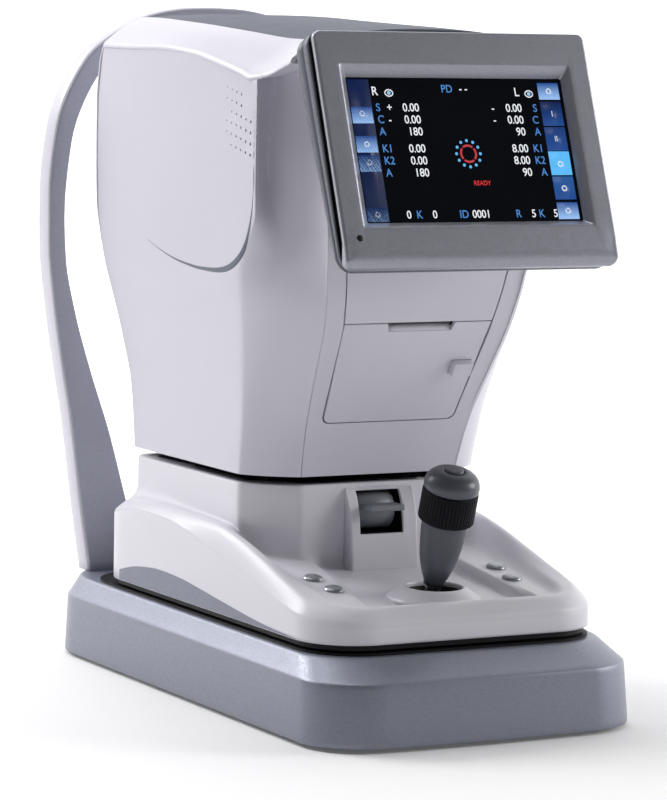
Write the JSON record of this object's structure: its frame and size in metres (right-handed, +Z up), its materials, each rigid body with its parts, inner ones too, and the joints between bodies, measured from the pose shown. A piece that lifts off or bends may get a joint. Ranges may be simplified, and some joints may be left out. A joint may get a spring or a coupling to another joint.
{
  "type": "autorefractor",
  "caption": "Desktop autorefractor: sliding stage with joystick and printer, lifting measuring head with tilting touch screen, head-rest arch and chin rest.",
  "frame": {"origin": "middle of the underside, on the table", "axes": "+Z up, -Y towards the operator (screen and joystick side), +Y towards the patient (chin rest), +X to the right seen by the operator"},
  "size_m": [0.248, 0.44, 0.45],
  "materials": {
    "shell_white": "smooth satin-gloss moulded shell, cool white",
    "base_grey": "fine metallic cool grey paint",
    "bezel_grey": "fine metallic light grey paint",
    "stick_grey": "fine-grained slate grey grip",
    "ring_rubber": "knurled black rubber",
    "control_grey": "grey moulded lever",
    "button_silver": "silver-grey domed keys",
    "black_plastic": "black moulded plastic",
    "black_plate": "black painted sheet",
    "zinc_steel": "zinc plated sheet",
    "polished_steel": "ground steel",
    "cast_alloy": "die-cast aluminium",
    "brass_gear": "cut brass",
    "bronze_bush": "sintered bronze",
    "nylon_black": "moulded nylon",
    "rubber": "soft black rubber",
    "soft_grey": "soft silicone pad",
    "display_black": "display behind cover glass",
    "optic_glass": "coated lens",
    "paper": "thermal paper roll"
  },
  "bodies": {
    "base": {"base_shell": "base_grey", "bottom_plate": "zinc_steel", "guide_rods": "polished_steel", "gear_racks": "nylon_black", "slide_plate": "black_plate", "rubber_feet": "rubber", "base_screws": "polished_steel", "power_supply": "zinc_steel", "power_inlet": "black_plastic", "arch_front_cover": "base_grey", "arch_frame": "shell_white", "forehead_pad": "soft_grey", "chin_column": "base_grey"},
    "power_switch": {"power_switch": "black_plastic"},
    "chin_rest": {"chin_rest": "shell_white"},
    "chin_screw": {"chin_screw": "polished_steel"},
    "carriage": {"carriage_frame": "cast_alloy"},
    "axle": {"cross_shaft": "polished_steel", "pinions": "brass_gear"},
    "stage": {"stage_cover": "shell_white", "stage_chassis": "black_plate", "shaft_housing": "cast_alloy", "stage_bushes": "bronze_bush", "side_inserts": "base_grey", "joystick_collar": "shell_white", "lock_housing": "shell_white", "lift_motor": "black_plastic", "lift_rods": "polished_steel"},
    "lock_lever": {"lock_lever": "control_grey"},
    "button_left_rear": {"button_left_rear": "button_silver"},
    "button_left_front": {"button_left_front": "button_silver"},
    "button_right_rear": {"button_right_rear": "button_silver"},
    "button_right_front": {"button_right_front": "button_silver"},
    "gimbal": {"gimbal_ring": "polished_steel"},
    "joystick": {"joystick_stick": "polished_steel", "joystick_handle": "stick_grey", "joystick_cap": "stick_grey", "joystick_dust_cap": "black_plastic"},
    "height_ring": {"joystick_ring": "ring_rubber"},
    "trigger": {"trigger_button": "stick_grey"},
    "lift_screw": {"lift_screw": "polished_steel"},
    "head": {"left_cover": "shell_white", "right_cover": "shell_white", "front_panel": "shell_white", "rear_cover": "shell_white", "top_cover": "base_grey", "head_chassis": "cast_alloy", "head_bushes": "bronze_bush", "lift_skirt": "black_plastic", "optical_tube": "black_plastic", "objective_lens": "optic_glass", "printer_frame": "black_plastic", "screen_bracket": "black_plate"},
    "paper_roll": {"paper_roll": "paper"},
    "printer_door": {"printer_door": "shell_white"},
    "platen": {"platen_roller": "rubber"},
    "door_button": {"door_button": "shell_white"},
    "screen": {"screen_housing": "bezel_grey", "screen_bezel": "bezel_grey", "display_panel": "display_black"}
  },
  "joints": [
    {"name": "stage_forward", "type": "slide", "parent": "base", "child": "carriage", "axis": [0, 1, 0], "range_m": [-0.02, 0.02]},
    {"name": "axle_roll", "type": "hinge", "parent": "carriage", "child": "axle", "pos_m": [0, 0.02, 0.034], "axis": [1, 0, 0], "range_deg": [-145, 145]},
    {"name": "stage_sideways", "type": "slide", "parent": "carriage", "child": "stage", "axis": [1, 0, 0], "range_m": [-0.04, 0.04]},
    {"name": "lock_turn", "type": "hinge", "parent": "stage", "child": "lock_lever", "pos_m": [-0.0016, -0.054, 0.126], "axis": [1, 0, 0], "range_deg": [0, 30]},
    {"name": "joystick_side", "type": "hinge", "parent": "stage", "child": "gimbal", "pos_m": [0, -0.1306, 0.066], "axis": [0, 1, 0], "range_deg": [-12, 12]},
    {"name": "joystick_fore", "type": "hinge", "parent": "gimbal", "child": "joystick", "pos_m": [0, -0.1306, 0.066], "axis": [1, 0, 0], "range_deg": [-12, 12]},
    {"name": "height_turn", "type": "hinge", "parent": "joystick", "child": "height_ring", "pos_m": [0, -0.1306, 0.066], "axis": [0, -0.2974, 0.9548], "continuous": true},
    {"name": "trigger_press", "type": "slide", "parent": "joystick", "child": "trigger", "axis": [0, 0.2974, -0.9548], "range_m": [0, 0.0018], "stiffness_N_per_m": 400, "springref_m": -0.0004},
    {"name": "head_lift", "type": "slide", "parent": "stage", "child": "head", "axis": [0, 0, 1], "range_m": [0, 0.03]},
    {"name": "lift_screw_turn", "type": "hinge", "parent": "stage", "child": "lift_screw", "pos_m": [0, 0.04, 0.1], "axis": [0, 0, 1], "range_deg": [-10, 1090]},
    {"name": "screen_tilt", "type": "hinge", "parent": "head", "child": "screen", "pos_m": [0, -0.12834, 0.41662], "axis": [-1, 0, 0], "range_deg": [0, 15]},
    {"name": "door_swing", "type": "hinge", "parent": "head", "child": "printer_door", "pos_m": [0, -0.07354, 0.18785], "axis": [1, 0, 0], "range_deg": [0, 55]},
    {"name": "door_button_press", "type": "slide", "parent": "printer_door", "child": "door_button", "axis": [0, 0.8695, 0.4939], "range_m": [0, 0.002], "stiffness_N_per_m": 400, "springref_m": -0.0003},
    {"name": "platen_turn", "type": "hinge", "parent": "printer_door", "child": "platen", "pos_m": [0, -0.09813, 0.24633], "axis": [1, 0, 0], "continuous": true},
    {"name": "paper_turn", "type": "hinge", "parent": "head", "child": "paper_roll", "pos_m": [0, -0.06394, 0.23067], "axis": [1, 0, 0], "continuous": true},
    {"name": "chin_height", "type": "slide", "parent": "base", "child": "chin_rest", "axis": [0, 0, 1], "range_m": [-0.014, 0.045]},
    {"name": "chin_screw_turn", "type": "hinge", "parent": "base", "child": "chin_screw", "pos_m": [0, 0.201, 0.09], "axis": [0, 0, 1], "range_deg": [-640, 2035]},
    {"name": "power_rock", "type": "hinge", "parent": "base", "child": "power_switch", "pos_m": [0.023, 0.214, 0.022], "axis": [1, 0, 0], "range_deg": [0, 12]},
    {"name": "button_left_rear_press", "type": "slide", "parent": "stage", "child": "button_left_rear", "axis": [0, 0.1513, -0.9885], "range_m": [0, 0.001], "stiffness_N_per_m": 300, "springref_m": -0.0003},
    {"name": "button_left_front_press", "type": "slide", "parent": "stage", "child": "button_left_front", "axis": [0, 0.1513, -0.9885], "range_m": [0, 0.001], "stiffness_N_per_m": 300, "springref_m": -0.0003},
    {"name": "button_right_rear_press", "type": "slide", "parent": "stage", "child": "button_right_rear", "axis": [0, 0.1513, -0.9885], "range_m": [0, 0.001], "stiffness_N_per_m": 300, "springref_m": -0.0003},
    {"name": "button_right_front_press", "type": "slide", "parent": "stage", "child": "button_right_front", "axis": [0, 0.1513, -0.9885], "range_m": [0, 0.001], "stiffness_N_per_m": 300, "springref_m": -0.0003}
  ],
  "couplings": [
    {"joint": "axle_roll", "follows": "stage_forward", "rad_per_m": -125},
    {"joint": "lift_screw_turn", "follows": "head_lift", "rad_per_m": 628.32},
    {"joint": "chin_screw_turn", "follows": "chin_height", "rad_per_m": 785.4}
  ]
}
